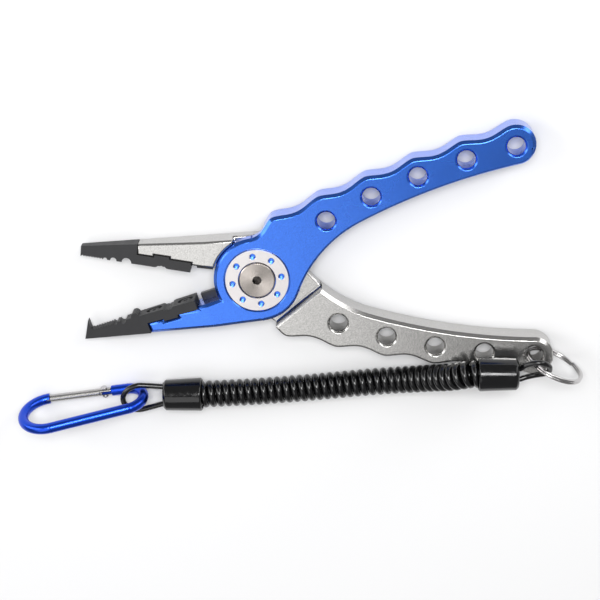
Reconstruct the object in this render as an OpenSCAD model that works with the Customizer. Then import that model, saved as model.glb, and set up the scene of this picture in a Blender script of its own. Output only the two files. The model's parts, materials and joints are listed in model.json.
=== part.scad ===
/* [Levers] */
// Thickness of both levers, away from the tapered jaws
lever_t = 11; // [9.5:0.5:12.5]
// Angle between each lever and the closed line, at rest
half_open = 12.5; // [11:0.5:14]
// Height of the levers above the table, given by the rear pivot cap
stand_off = 3; // [3:0.1:4]
// Radius of each lever's round boss at the pivot
boss_r = 17; // [16:0.25:18]
// Radial gap between a boss and the other lever's step
lap_gap = 0.4; // [0.3:0.05:0.8]
// Gap between the two half-lapped faces, filled by the thrust washer
face_gap = 0.3; // [0.2:0.05:0.5]

/* [Handles] */
// Spacing of the finger scallops and of the handle holes
finger_pitch = 19.5; // [18:0.25:21]
// Number of round holes along each handle
hole_count = 5; // [5:1:5]
// Radius of the handle holes
hole_r = 3.5; // [3.3:0.1:4]
// Width of the countersink round each handle hole
hole_chamfer = 0.8; // [0.3:0.1:1.2]
// Depth of the finger scallops
scallop_depth = 2; // [1:0.1:2.6]
// Height of the scallop crests above the closed line
crest_top = 27.2; // [25:0.2:29]
// Distance from the pivot to the first crest
first_crest = 14; // [13:0.25:15]
// Height of the line of holes above the closed line
spine_top = 19.9; // [18.5:0.1:21]
// Distance from the line of holes to the inner edge
rim_in = 7.1; // [6.4:0.1:8]
// Radius of the curve between a handle and its boss
throat_r = 52; // [45:1:60]
// Distance from the pivot to the straight step across each handle
step_dist = 19.2; // [19:0.1:21]

/* [Jaws] */
// Length of the toothed jaws from the pivot
jaw_len = 70.5; // [66:0.1:74]
// Distance from the pivot to the joint between lever and jaw nose
joint_x = 48; // [45:0.25:50]
// Angle of the outer edge of each jaw
jaw_slope = 10.5; // [9.5:0.25:11]
// Distance from the pivot at which the jaws start to get thinner
taper_x = 22; // [20:0.5:24]
// Thickness of the jaws at their tips
tip_t = 3.8; // [3:0.1:5]
// Half of the gap that is left between the closed jaws
bite = 0.15; // [0.1:0.05:0.3]
// Depth of the steel strip behind the nose
strip_t = 4; // [3.5:0.1:4.5]
// Distance from the pivot to the near end of the steel strip
strip_x = 26.3; // [25.5:0.1:27]
// Depth of the open throat between strip and boss
relief = 3.1; // [2.6:0.1:3.5]
// Pitch of the fine teeth
tooth_pitch = 1.1; // [0.6:0.02:1.2]
// Depth of the fine teeth
tooth_depth = 0.5; // [0.3:0.05:0.8]
// Height of the hook on the lower jaw, above the closed line
hook_h = 3.8; // [3:0.1:5.5]

/* [Fasteners and cutters] */
// Radius of the jaw screws
screw_r = 1.25; // [1:0.05:1.5]
// Radius of the jaw screws' heads
screw_head_r = 2.1; // [1.8:0.05:2.4]
// Radial clearance round a screw
screw_fit = 0.05; // [0.03:0.01:0.1]
// Length of each cutter plate along the jaw
cutter_len = 6.4; // [5.5:0.1:6.6]
// Thickness of each cutter plate
cutter_t = 3.2; // [2.6:0.1:3.6]
// Gap round a cutter plate in its pocket
cutter_fit = 0.05; // [0.02:0.01:0.1]

/* [Pivot] */
// Radius of the front and rear pivot rings
ring_r = 12.5; // [12:0.1:13]
// Gap round each pivot ring in its recess
ring_gap = 0.3; // [0.2:0.05:0.4]
// Depth of the recess for each pivot ring
recess = 2.2; // [2:0.1:2.5]
// Radius of the bolt head and of the nut's flange
head_r = 7.1; // [6.5:0.1:7.4]
// Radius of the circle of spanner holes
spanner_pcd_r = 9.75; // [9.6:0.05:10]
// Radius of a spanner hole
spanner_r = 1.2; // [1:0.05:1.3]
// Number of spanner holes
spanner_count = 8; // [6:1:8]
// Width of the hex socket across its flats
socket_af = 3.2; // [2.5:0.1:4]
// Outer radius of the pivot bush
bush_r = 5; // [4.7:0.1:5]
// Radial clearance between the bush and the levers
bush_fit = 0.04; // [0.02:0.01:0.08]
// Radius of the nut's barrel
barrel_r = 4; // [3.6:0.1:4.2]
// Radius of the bolt's shank
bolt_r = 2.5; // [2:0.1:2.8]
// Radius of the stop pin
pin_r = 1.2; // [1:0.05:1.2]
// Distance from the pivot to the stop pin
pin_dist = 10.6; // [10.5:0.05:10.7]
// Wire radius of the return spring
spring_wire = 0.5; // [0.4:0.05:0.55]
// Radius of the return spring's coils
spring_r = 7; // [6.7:0.1:7.2]

/* [Lanyard] */
// Outer radius of the curly cord
coil_r = 5.5; // [5:0.1:5.5]
// Outer radius of the end boots
boot_r = 6.75; // [6.5:0.05:7]
// Length of each end boot
boot_len = 15.7; // [15:0.1:17]
// Radius of the two loop cords
loop_r = 1.1; // [0.9:0.05:1.2]
// Distance from the right boot's axis to each strand of its loop
ring_strand_dist = 2.1; // [1.8:0.1:3]
// Distance from the left boot's axis to each strand of its loop
clip_strand_dist = 3.7; // [3:0.1:3.7]

/* [Rings and clip] */
// Outer radius of the split ring
split_r = 12.2; // [11.8:0.1:12.5]
// Radial width of the split ring's wire
split_w = 1.3; // [1.1:0.1:1.4]
// Width of the split ring's two turns together
split_t = 2; // [1.6:0.1:2.1]
// Radius of the carabiner's rod
rod_r = 2.1; // [1.8:0.05:2.2]
// Centre-line radius of the carabiner's narrow end
narrow_r = 6.9; // [6.5:0.1:7.5]
// Centre-line radius of the carabiner's broad end
broad_r = 10.2; // [9.5:0.1:11]
// Distance between the centres of the carabiner's two ends
clip_span = 32.2; // [31:0.2:34]
// Radius of the gate
gate_r = 1.5; // [1.3:0.05:1.6]

/* [Hidden] */

eps = 0.01;                       // overshoot of every cut
bead = 0.02;                      // small step where a straight run meets a round end
far = 40;                         // reach of a cut past the outline
smooth = 96;                      // facets of the large round outlines
lap_z = lever_t / 2;              // height of the half-lap inside the levers

// Handle outline: the holes lie on a shallow arc, the inner edge follows it
spine_x = 87;                     // where the line of holes is highest
spine_r = 250;                    // radius of the line of holes
crest_x = 95;                     // where the line of crests is highest
crest_r = 619;                    // radius of the line of crests
neck_x = 3.5;                     // where the outer edge leaves the boss
spine_c = [spine_x, spine_top - spine_r];
inner_r = spine_r - rim_in;
last_hole_x = hole_x(hole_count - 1);
throat_a = atan2(spine_c.y, spine_c.x) + acos(
    (pow(boss_r + throat_r, 2) + pow(norm(spine_c), 2) - pow(inner_r - throat_r, 2))
    / (2 * (boss_r + throat_r) * norm(spine_c)));
throat_c = (boss_r + throat_r) * [cos(throat_a), sin(throat_a)];
throat_end_a = atan2(throat_c.y - spine_c.y, throat_c.x - spine_c.x);
step_a = 43.3;                    // direction of the straight step's normal
jaw_step_x = -11;                 // where a jaw's stepped half ends near the boss

// Jaws
taper = (lever_t - tip_t) / (jaw_len - taper_x);
key_x = [41, 35];                 // the strip's locating key along the jaw
key_t = 1;                        // and its depth
hook_gap = 0.4;                   // the hook clears the other jaw's tip
hook_len = 4.1;                   // length of the hook's foot past the tip
teeth_end = 61.6;                 // where the fine teeth stop
hollow_x = [40.6, 35.2];          // the serrated hollow along the jaw
hollow_depth = 1;
hollow_teeth = 4;
crimp = [[51.9, 1.95], [57.2, 1.3], [60.5, 0.8]];  // crimping notches: place, radius
hump_r = 1.6;                     // hump that fits the largest notch
screw_x = [44, 30.6];             // the two jaw screws
screw_head_t = 1.1;
screw_sink = 0.25;                // heads lie this far below the jaw face
slot_run = 1.1;                   // each head's recess is this much longer each way
screw_end = 8.2;                  // depth of a screw's end below the closed line
cutter_x = 24.3;                  // far end of the cutter plates
cutter_depth = 6.2;               // depth of a plate below the closed line
cutter_z = 0.3;                   // a plate's height above the lever's underside
cutter_screw = [21.1, 4.6];       // its screw: along the jaw, below the closed line
cutter_screw_r = 0.8;
cutter_head_r = 1.5;
cutter_screw_len = 6;

// Pivot stack, measured from the levers' underside
ring_low = 0.2;                   // the front ring lies this far below the face
washer_r = [12.3, 16.4];
washer_play = 0.05;               // its running clearance
pocket_r = [bush_r + 0.3, spring_r + spring_wire + 1.2];
pocket_z = 1.55;                  // depth of the spring pocket in each lever
floor_gap = 0.1;                  // axial play under the bolt head
spring_turns = 2;
spring_pitch = 2 * spring_wire + 0.1;
spring_leg = 40;                  // turn between the spring's two legs, past its whole turns
leg_len = 1;                      // the legs go this much deeper than the pocket
spring_hole = spring_wire + 0.2;
stop_run = 2 * half_open;         // the whole opening of the jaws
stop_play = 0.3;                  // play of the stop pin in its slot
pin_rise = 1.7;                   // the pin enters the front lever by this much
pin_a = 205;                      // direction of the stop pin from the pivot

// Lanyard
right_start = [82.2, -45.3, 21.1];
right_a = -6;
left_start = [-28.8, -47.8, 6.8];
left_a = 175.5;
coil_in = 3;                      // the coil enters each boot by this much
boot_fit = 0.45;                  // room round the coil in a boot
boot_end_t = 2.6;                 // end wall of a boot
boot_taper = 0.5;                 // a boot is this much slimmer at its cord end
ferrule_r = 5.4;
strand_in = 6;                    // a strand's end, measured from the coil's end
coil_route = [
    left_start, [-24, -48.2, 6.5],
    [-17, -48.8, 5.9], [-8, -49.3, 5.75], [6, -49.7, 5.75], [20, -49.9, 5.75],
    [34, -50, 5.75], [44, -50.1, 5.9], [52, -50, 6.9], [59, -49.4, 9.2], [65, -48.5, 12.2],
    [70, -47.5, 15.6], [74.5, -46.3, 18.6], [78.5, -45.3, 20.5], right_start
];
ring_route = [
    right_strand(strand_in, 1), right_strand(11, 1), right_strand(boot_len, 1),
    [100.7, -43.3, 21.9], [103.2, -42.4, 22.7], [105.7, -42.2, 23.3], [108, -42.9, 22.9],
    [109.9, -45.1, 20.9], [109.9, -47.6, 18.9], [108.2, -48.7, 18.6], [105.8, -48.6, 19.3],
    [103, -48.4, 20.4], [100.4, -48.5, 21],
    right_strand(boot_len, -1), right_strand(11, -1), right_strand(strand_in, -1)
];
clip_route = [
    left_strand(strand_in, -1), left_strand(11, -1), left_strand(boot_len, -1),
    [-50, -41.9, 6.9], [-54.5, -41.2, 7.3], [-58.4, -42.4, 7.4], [-60.8, -45.2, 7.3],
    [-60.9, -48.2, 7.1], [-58.6, -50.8, 6.9], [-55, -51.8, 6.8], [-50, -51.1, 6.8],
    left_strand(boot_len, 1), left_strand(11, 1), left_strand(strand_in, 1)
];

// Split ring: it hangs through the end hole of the silver handle
split_a = -30.3;                  // direction in which the ring's plane runs
split_lean = 83.8;                // slope of the ring's plane
split_off_a = -35.4;              // direction from the hole to the ring's centre
split_shift = split_r - 2.77;     // distance from the hole to the ring's centre
split_lift = 0.1;                 // the ring's lowest point lies this far above the table
split_z = split_r * sin(split_lean) + split_t / 2 * cos(split_lean) + split_lift;

// Carabiner: it stands on its gate side, held by its loop
clip_at = [-59.4, -44, 2.2];
clip_turn = [75, 0, -178.4];
clip_tilt = asin((broad_r - narrow_r) / clip_span);
rivet_x = 9.6;                    // the gate's hinge, along the clip
gate_tail = 2.7;                  // the gate's length behind its hinge
nose_x = 32.4;                    // where the gate meets the nose
tab_t = 1;                        // thickness of the hinge tab
rivet_r = 0.8;
gate_gap = 0.2;
gate_bore = 0.8;
gate_spring_len = 9;
tongue_len = 1.6;                 // the gate's tongue, which enters the slot in the nose
tongue_t = 1.2;

// ---------- shared functions ----------
// A point in a boot: along its axis from the coil's end, and to one side of the axis
function boot_point(at, a, along, aside) =
    at + along * [cos(a), sin(a), 0] + aside * [-sin(a), cos(a), 0];
function right_strand(along, side) =
    boot_point(right_start, right_a, along, side * ring_strand_dist);
function left_strand(along, side) =
    boot_point(left_start, left_a, along, side * clip_strand_dist);
function arc(c, r, a0, a1, n) =
    [for (i = [0:n]) c + r * [cos(a0 + (a1 - a0) * i / n), sin(a0 + (a1 - a0) * i / n)]];
function hole_x(i) = first_crest + finger_pitch * (i + 1);
function spine_y(x) = spine_c.y + sqrt(pow(spine_r, 2) - pow(x - spine_x, 2));
function inner_y(x) = spine_c.y + sqrt(pow(inner_r, 2) - pow(x - spine_x, 2));
function crest_y(x) = crest_top - pow(x - crest_x, 2) / (2 * crest_r);
function scallop(x) = scallop_depth * pow(abs(sin(180 * (x - first_crest) / finger_pitch)), 1.6);
function smoothstep(u) = u * u * (3 - 2 * u);
function neck_y(x) = let (y0 = sqrt(boss_r * boss_r - neck_x * neck_x))
    y0 + (crest_y(first_crest) - y0)
    * smoothstep(pow((x - neck_x) / (first_crest - neck_x), 1.4));
function jaw_outer(x) = -boss_r / cos(jaw_slope) - x * tan(jaw_slope);
function top_z(x) = x > -taper_x ? lever_t : lever_t - taper * (-taper_x - x);

// ---------- shared shapes, in the frame of a closed lever ----------
module blue_place() { translate([0, 0, stand_off]) rotate([0, 0, half_open]) children(); }
module silver_place() {
    translate([0, 0, stand_off]) rotate([0, 0, -half_open]) mirror([0, 1, 0]) children();
}

module handle_outline() {
    end_y = (crest_y(last_hole_x) + inner_y(last_hole_x)) / 2;
    end_r = (crest_y(last_hole_x) - inner_y(last_hole_x)) / 2;
    end_a = 90 - asin((last_hole_x - spine_x) / inner_r);
    wave_n = 120;
    neck_n = 16;
    polygon(concat(
        [[-boss_r / 4, -boss_r / 3]],
        [for (i = [0:neck_n - 1]) let (x = neck_x + (first_crest - neck_x) * i / neck_n)
            [x, neck_y(x) + eps]],
        [for (i = [0:wave_n - 1]) let (x = first_crest + (last_hole_x - first_crest) * i / wave_n)
            [x, crest_y(x) - scallop(x)]],
        arc([last_hole_x, end_y], end_r, 90, -90, 24),
        arc(spine_c, inner_r, end_a + 1, throat_end_a, 24),
        arc(throat_c, throat_r, throat_end_a, throat_a + 179, 24)
    ));
}

module jaw_outline() {
    polygon([
        [boss_r / 3, -relief], [-strip_x, -relief], [-strip_x, -strip_t], [-key_x[1], -strip_t],
        [-key_x[1], -strip_t - key_t], [-key_x[0], -strip_t - key_t], [-key_x[0], -strip_t],
        [-joint_x, -strip_t], [-joint_x, jaw_outer(-joint_x)],
        [-boss_r * sin(jaw_slope), -boss_r * cos(jaw_slope) - eps], [boss_r / 3, -boss_r / 2]
    ]);
}

// The part of the plan in which a lever gives half its thickness to the other
module lap_zone() {
    circle(r = boss_r + lap_gap, $fn = smooth);
    far_x = (step_dist + sin(step_a) * far) / cos(step_a);
    near_y = (step_dist - cos(step_a) * jaw_step_x) / sin(step_a);
    polygon([[jaw_step_x, -far], [far_x, -far], [jaw_step_x, near_y]]);
}

// Everything above the sloping top face of a jaw
module jaw_slope_cut() {
    reach = jaw_len + 2 * hook_len;
    rotate([90, 0, 0]) translate([0, 0, -far]) linear_extrude(2 * far)
        polygon([[-taper_x, lever_t], [-reach, top_z(-reach)], [-reach, 2 * lever_t],
            [-taper_x, 2 * lever_t]]);
}

module handle_holes() {
    for (i = [0:hole_count - 1]) translate([hole_x(i), spine_y(hole_x(i)), 0]) {
        translate([0, 0, -eps]) cylinder(r = hole_r, h = lever_t + 2 * eps, $fn = 64);
        translate([0, 0, -eps])
            cylinder(r1 = hole_r + hole_chamfer, r2 = hole_r, h = hole_chamfer, $fn = 64);
        translate([0, 0, lever_t - hole_chamfer + eps])
            cylinder(r1 = hole_r, r2 = hole_r + hole_chamfer, h = hole_chamfer, $fn = 64);
    }
}

// Threaded holes for the jaw screws and the pocket and hole for the cutter plate
module jaw_holes() {
    for (x = screw_x) translate([-x, -screw_end, top_z(-x) / 2]) rotate([-90, 0, 0])
        cylinder(r = screw_r + screw_fit, h = screw_end, $fn = 32);
    translate([-cutter_x - cutter_fit, -cutter_depth - cutter_fit, -eps])
        cube([cutter_len + 2 * cutter_fit, cutter_depth, cutter_z + cutter_t + cutter_fit]);
    translate([-cutter_screw.x, -cutter_screw.y, 0])
        cylinder(r = cutter_screw_r + screw_fit, h = cutter_z + cutter_screw_len, $fn = 32);
}

// One whole lever before the pivot is machined; upper says which half of it laps
module lever_blank(upper) {
    difference() {
        union() {
            cylinder(r = boss_r, h = lever_t, $fn = smooth);
            linear_extrude(lever_t) handle_outline();
            linear_extrude(lever_t) jaw_outline();
        }
        translate([0, 0, upper ? -eps : lap_z - face_gap / 2])
            linear_extrude(lap_z + face_gap / 2 + eps) lap_zone();
        jaw_slope_cut();
        handle_holes();
        jaw_holes();
    }
}

module bore(r, z0, z1) { translate([0, 0, z0]) cylinder(r = r, h = z1 - z0, $fn = 64); }

module pocket_ring(z0, z1) {
    difference() { bore(pocket_r[1], z0, z1); bore(pocket_r[0] - 2 * eps, z0 - 1, z1 + 1); }
}

// ---------- levers ----------
module blue_lever() {
    low = lap_z + face_gap / 2;
    color("royalblue") blue_place() difference() {
        lever_blank(true);
        bore(bush_r + bush_fit, -eps, lever_t + eps);
        bore(ring_r + ring_gap, lever_t - recess, lever_t + eps);
        bore(pocket_r[1], low - eps, low + pocket_z);
        translate([spring_r, 0, low]) bore(spring_hole, 0, pocket_z + leg_len + 0.2);
        stop_slot(low);
    }
}

// Curved slot in which the stop pin travels, as wide as the pin and its play
module stop_slot(z0) {
    w = pin_r + stop_play;
    a0 = pin_a - half_open;
    translate([0, 0, z0 - eps]) {
        for (a = [a0, a0 + stop_run]) rotate([0, 0, a]) translate([pin_dist, 0, 0])
            cylinder(r = w, h = pin_rise + stop_play, $fn = 48);
        rotate([0, 0, a0]) rotate_extrude(angle = stop_run, $fn = smooth)
            translate([pin_dist - w + bead, 0]) square([2 * (w - bead), pin_rise + stop_play]);
    }
}

module silver_lever() {
    high = lap_z - face_gap / 2;
    color("silver") silver_place() difference() {
        lever_blank(false);
        bore(bush_r + bush_fit, -eps, lever_t);
        bore(ring_r + ring_gap, -eps, recess);
        bore(pocket_r[1], high - pocket_z, high + eps);
        rotate([0, 0, -2 * half_open - spring_leg]) translate([spring_r, 0, 0])
            bore(spring_hole, high - pocket_z - leg_len - 0.2, high);
        rotate([0, 0, -(pin_a + half_open)]) translate([pin_dist, 0, 0])
            bore(pin_r + screw_fit, high - 2, high + eps);
    }
}

// ---------- jaw inserts ----------
// Plan of a steel insert: teeth, strip, key and nose; hooked for the lower jaw
module insert_outline(hooked) {
    teeth = floor((jaw_len - teeth_end) / tooth_pitch);
    tip = hooked
        ? [[-jaw_len - hook_gap - hook_len, jaw_outer(-jaw_len - hook_gap - hook_len)],
           [-jaw_len - hook_gap, hook_h], [-jaw_len - hook_gap, -bite]]
        : [[-jaw_len, jaw_outer(-jaw_len)], [-jaw_len, -bite]];
    hollow_n = 2 * hollow_teeth;
    polygon(concat(
        [[-joint_x, jaw_outer(-joint_x)]],
        tip,
        [for (i = [0:teeth - 1], k = [0, 1])
            [-jaw_len + tooth_pitch * (i + k / 2 + 0.25), -bite - k * tooth_depth]],
        [[-teeth_end, -bite]],
        [for (i = [0:hollow_n]) let (u = i / hollow_n)
            [-hollow_x[0] + u * (hollow_x[0] - hollow_x[1]),
             -bite - hollow_depth * sin(180 * u) + (i % 2 == 1 ? 0.25 : 0)]],
        [[-strip_x, -bite], [-strip_x, -strip_t], [-key_x[1], -strip_t],
         [-key_x[1], -strip_t - key_t], [-key_x[0], -strip_t - key_t],
         [-key_x[0], -strip_t], [-joint_x, -strip_t]]
    ));
}

module insert(hooked) {
    difference() {
        union() {
            linear_extrude(lever_t) insert_outline(hooked);
            if (hooked) translate([-crimp[0][0], -bite, 0])
                cylinder(r = hump_r, h = lever_t, $fn = 48);
        }
        for (i = [hooked ? 1 : 0:2]) translate([-crimp[i][0], -bite, -eps])
            cylinder(r = crimp[i][1], h = lever_t + 1, $fn = 48);
        for (x = screw_x) translate([-x, 0, top_z(-x) / 2]) rotate([90, 0, 0]) {
            cylinder(r = screw_r + screw_fit, h = 2 * strip_t, $fn = 32);
            for (s = [-1, 1]) translate([s * slot_run, 0, 0])
                cylinder(r = screw_head_r + screw_fit, h = bite + screw_sink + screw_head_t, $fn = 48);
            translate([-slot_run, -screw_head_r - screw_fit, 0])
                cube([2 * slot_run, 2 * (screw_head_r + screw_fit), bite + screw_sink + screw_head_t]);
        }
        jaw_slope_cut();
    }
}

module upper_jaw_insert() { color([0.2, 0.2, 0.2]) silver_place() insert(false); }
module lower_jaw_insert() { color([0.2, 0.2, 0.2]) blue_place() insert(true); }

module insert_screws() {
    for (x = screw_x)
        translate([-x, -bite - screw_sink, top_z(-x) / 2]) rotate([90, 0, 0]) difference() {
            union() {
                cylinder(r = screw_head_r, h = screw_head_t, $fn = 48);
                cylinder(r = screw_r, h = screw_end - bite - screw_sink - 0.2, $fn = 32);
            }
            translate([0, 0, -eps]) cylinder(d = 1.5 / cos(30), h = 0.7, $fn = 6);
        }
}

module upper_insert_screws() { color([0.25, 0.25, 0.25]) silver_place() insert_screws(); }
module lower_insert_screws() { color([0.25, 0.25, 0.25]) blue_place() insert_screws(); }

// ---------- line cutters ----------
module cutter_plate() {
    bevel = 0.8;
    difference() {
        translate([-cutter_x, 0, cutter_z]) rotate([90, 0, 90]) linear_extrude(cutter_len)
            polygon([[-cutter_depth, 0], [-bite - bevel, 0], [-bite, bevel], [-bite, cutter_t],
                [-cutter_depth, cutter_t]]);
        translate([-cutter_screw.x, -cutter_screw.y, 0]) {
            cylinder(r = cutter_screw_r + screw_fit, h = lever_t, $fn = 32);
            cylinder(r = cutter_head_r + screw_fit, h = cutter_z + 1.1, $fn = 32);
        }
    }
}

module cutter_fixing() {
    translate([-cutter_screw.x, -cutter_screw.y, cutter_z]) difference() {
        union() {
            translate([0, 0, 0.1]) cylinder(r = cutter_head_r, h = 1, $fn = 32);
            translate([0, 0, 0.1]) cylinder(r = cutter_screw_r, h = cutter_screw_len - 0.4, $fn = 32);
        }
        cylinder(d = 1.2, h = 0.6, $fn = 6);
    }
}

module upper_cutter() { color([0.15, 0.15, 0.16]) silver_place() cutter_plate(); }
module lower_cutter() { color([0.15, 0.15, 0.16]) blue_place() cutter_plate(); }
module upper_cutter_screw() { color("dimgray") silver_place() cutter_fixing(); }
module lower_cutter_screw() { color("dimgray") blue_place() cutter_fixing(); }

// ---------- pivot ----------
module front_pivot_ring() {
    color("gainsboro") translate([0, 0, stand_off + lever_t - recess]) difference() {
        cylinder(r = ring_r, h = recess - ring_low, $fn = smooth);
        bore(head_r + ring_gap, -1, recess);
        for (i = [0:spanner_count - 1]) rotate([0, 0, 3 + 360 * i / spanner_count])
            translate([spanner_pcd_r, 0, 0]) bore(spanner_r, -1, recess);
    }
}

// The rear cap stands proud and carries the levers clear of the table
module rear_pivot_cap() {
    edge = 0.6;
    color("gainsboro") difference() {
        rotate_extrude($fn = smooth) polygon([
            [0, 0], [ring_r - edge, 0], [ring_r, edge], [ring_r, stand_off + recess],
            [0, stand_off + recess]]);
        bore(head_r + bush_fit, -1, stand_off + recess + 1);
        for (i = [0:spanner_count - 1]) rotate([0, 0, 3 + 360 * i / spanner_count])
            translate([spanner_pcd_r, 0, 0]) bore(spanner_r, -1, 1.5);
    }
}

module pivot_bolt() {
    seat = stand_off + lever_t - recess + floor_gap;
    top = stand_off + lever_t;
    color([0.7, 0.67, 0.65]) difference() {
        union() {
            translate([0, 0, seat]) rotate_extrude($fn = smooth) polygon([
                [0, 0], [head_r, 0], [head_r, top - seat - 0.4], [head_r - 0.4, top - seat],
                [0, top - seat]]);
            bore(bolt_r, stand_off + 1, seat + eps);
        }
        translate([0, 0, top - 1.6]) cylinder(d = socket_af / cos(30), h = 2, $fn = 6);
    }
}

module pivot_nut() {
    barrel_top = stand_off + lever_t - recess;
    color([0.7, 0.67, 0.65]) difference() {
        union() {
            bore(head_r, 0, stand_off + recess);
            bore(barrel_r, 1, barrel_top);
        }
        bore(bolt_r + screw_fit, stand_off + 0.5, barrel_top + 1);
    }
}

module pivot_bush() {
    color("darkgoldenrod") difference() {
        bore(bush_r, stand_off + recess, stand_off + lever_t - recess);
        bore(barrel_r + bush_fit, 0, 2 * lever_t);
    }
}

module thrust_washer() {
    color("white") difference() {
        bore(washer_r[1], stand_off + lap_z - face_gap / 2, stand_off + lap_z + face_gap / 2 - washer_play);
        bore(washer_r[0], 0, 2 * lever_t);
    }
}

module stop_pin() {
    high = stand_off + lap_z - face_gap / 2;
    color("dimgray") rotate([0, 0, pin_a]) translate([pin_dist, 0, 0])
        bore(pin_r, high - 1.9, high + face_gap + pin_rise);
}

// Return spring: a leg in each lever joined by a close coil round the bush
function spring_point(a, z) = [spring_r * cos(a), spring_r * sin(a), z];
function spring_path() =
    let (z_mid = stand_off + lap_z, rise = spring_turns * spring_pitch,
         n = 24 * spring_turns, sweep_a = 360 * spring_turns + spring_leg,
         leg = face_gap / 2 + pocket_z + leg_len)
    concat(
        [spring_point(half_open, z_mid + leg)],
        [for (i = [0:n]) let (u = i / n)
            spring_point(half_open + u * sweep_a, z_mid + rise / 2 - rise * u)],
        [spring_point(half_open + spring_leg, z_mid - leg)]
    );

module return_spring() { color("lightgray") tube(spring_path(), spring_wire, 8); }

// ---------- tube swept along a list of points ----------
function unit(v) = v / norm(v);
function tangent(p, i) =
    unit(p[min(i + 1, len(p) - 1)] - p[max(i - 1, 0)]);
function side_of(t) = abs(t.z) < 0.95 ? unit(cross([0, 0, 1], t)) : [1, 0, 0];
// Carries each ring's first direction on to the next ring, so the tube never twists
function frames(p, i = 0, s = [0, 0, 0], out = []) =
    i == len(p) ? out
    : let (t = tangent(p, i), raw = i == 0 ? side_of(t) : s - t * (s * t), n = unit(raw))
      frames(p, i + 1, n, concat(out, [[n, cross(t, n)]]));
function ring(c, f, r, sides) =
    [for (k = [0:sides - 1]) c + r * (cos(360 * k / sides) * f[0] + sin(360 * k / sides) * f[1])];

module tube(p, r, sides) {
    f = frames(p);
    n = len(p);
    grown = r / cos(180 / sides);
    points = [for (i = [0:n - 1]) each ring(p[i], f[i], grown, sides)];
    faces = concat(
        [[for (k = [0:sides - 1]) k]],
        [for (i = [0:n - 2], k = [0:sides - 1]) let (a = i * sides, b = (k + 1) % sides)
            each [[a + k, a + k + sides, a + b + sides], [a + k, a + b + sides, a + b]]],
        [[for (k = [sides - 1:-1:0]) (n - 1) * sides + k]]
    );
    polyhedron(points, faces);
}

// A smooth curve through the route: steps points between each pair
function spline(p, steps) = let (n = len(p)) concat(
    [for (i = [0:n - 2], k = [0:steps - 1]) let (
        u = k / steps,
        a = p[max(i - 1, 0)], b = p[i], c = p[i + 1], d = p[min(i + 2, n - 1)])
        0.5 * (2 * b + (c - a) * u + (2 * a - 5 * b + 4 * c - d) * u * u
            + (3 * b - a - 3 * c + d) * u * u * u)],
    [p[n - 1]]);

// ---------- lanyard ----------
module lanyard_coil() {
    color([0.1, 0.1, 0.1]) tube(concat(
        [boot_point(left_start, left_a, coil_in, 0)],
        spline(coil_route, 4),
        [boot_point(right_start, right_a, coil_in, 0)]
    ), coil_r, 12);
}
module ring_loop() { color([0.1, 0.1, 0.1]) tube(spline(ring_route, 4), loop_r, 8); }
module clip_loop() { color([0.1, 0.1, 0.1]) tube(spline(clip_route, 4), loop_r, 8); }

module boot_place(at, a) { translate(at) rotate([0, 0, a]) rotate([0, 90, 0]) children(); }

module strand_holes(dist, r, z0, z1) {
    for (s = [-1, 1]) translate([0, s * dist, 0]) bore(r, z0, z1);
}

module boot(dist) {
    difference() {
        rotate_extrude($fn = smooth) polygon([
            [0, 0], [boot_r - 0.5, 0], [boot_r, 0.5], [boot_r - boot_taper, boot_len - 1],
            [boot_r - boot_taper - 1, boot_len], [0, boot_len]]);
        bore(coil_r + boot_fit, -1, coil_in);
        bore(ferrule_r + 0.05, coil_in - eps, boot_len - boot_end_t);
        strand_holes(dist, loop_r + 0.25, boot_len - boot_end_t - eps, boot_len + 1);
    }
}

module ferrule(dist) {
    difference() {
        bore(ferrule_r, coil_in, boot_len - boot_end_t);
        strand_holes(dist, loop_r + 0.25, strand_in - 0.2, boot_len);
    }
}

module right_boot() {
    color([0.08, 0.08, 0.08]) boot_place(right_start, right_a) boot(ring_strand_dist);
}
module right_ferrule() {
    color("gold") boot_place(right_start, right_a) ferrule(ring_strand_dist);
}
module left_boot() {
    color([0.08, 0.08, 0.08]) boot_place(left_start, left_a) boot(clip_strand_dist);
}
module left_ferrule() { color("gold") boot_place(left_start, left_a) ferrule(clip_strand_dist); }

// ---------- split ring ----------
module split_ring() {
    end_hole = [last_hole_x * cos(half_open) - spine_y(last_hole_x) * sin(half_open),
        -last_hole_x * sin(half_open) - spine_y(last_hole_x) * cos(half_open)];
    color("silver")
        translate([each end_hole + split_shift * [cos(split_off_a), sin(split_off_a)], split_z])
        rotate([0, 0, split_a]) rotate([180 - split_lean, 0, 0]) rotate_extrude($fn = smooth)
        translate([split_r - split_w, -split_t / 2]) square([split_w, split_t]);
}

// ---------- carabiner ----------
module clip_place() { translate(clip_at) rotate(clip_turn) children(); }

module rod_arc(c, r, a0, a1) {
    translate([c.x, c.y, 0]) rotate([0, 0, a0]) rotate_extrude(angle = a1 - a0, $fn = 96)
        translate([r, 0]) circle(r = rod_r, $fn = 32);
}

module rod_line(p, q) {
    translate([p.x, p.y, 0]) rotate([0, 0, atan2(q.y - p.y, q.x - p.x)]) rotate([0, 90, 0])
        translate([0, 0, -5 * bead]) cylinder(r = rod_r + bead, h = norm(q - p) + 10 * bead, $fn = 32);
}

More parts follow.
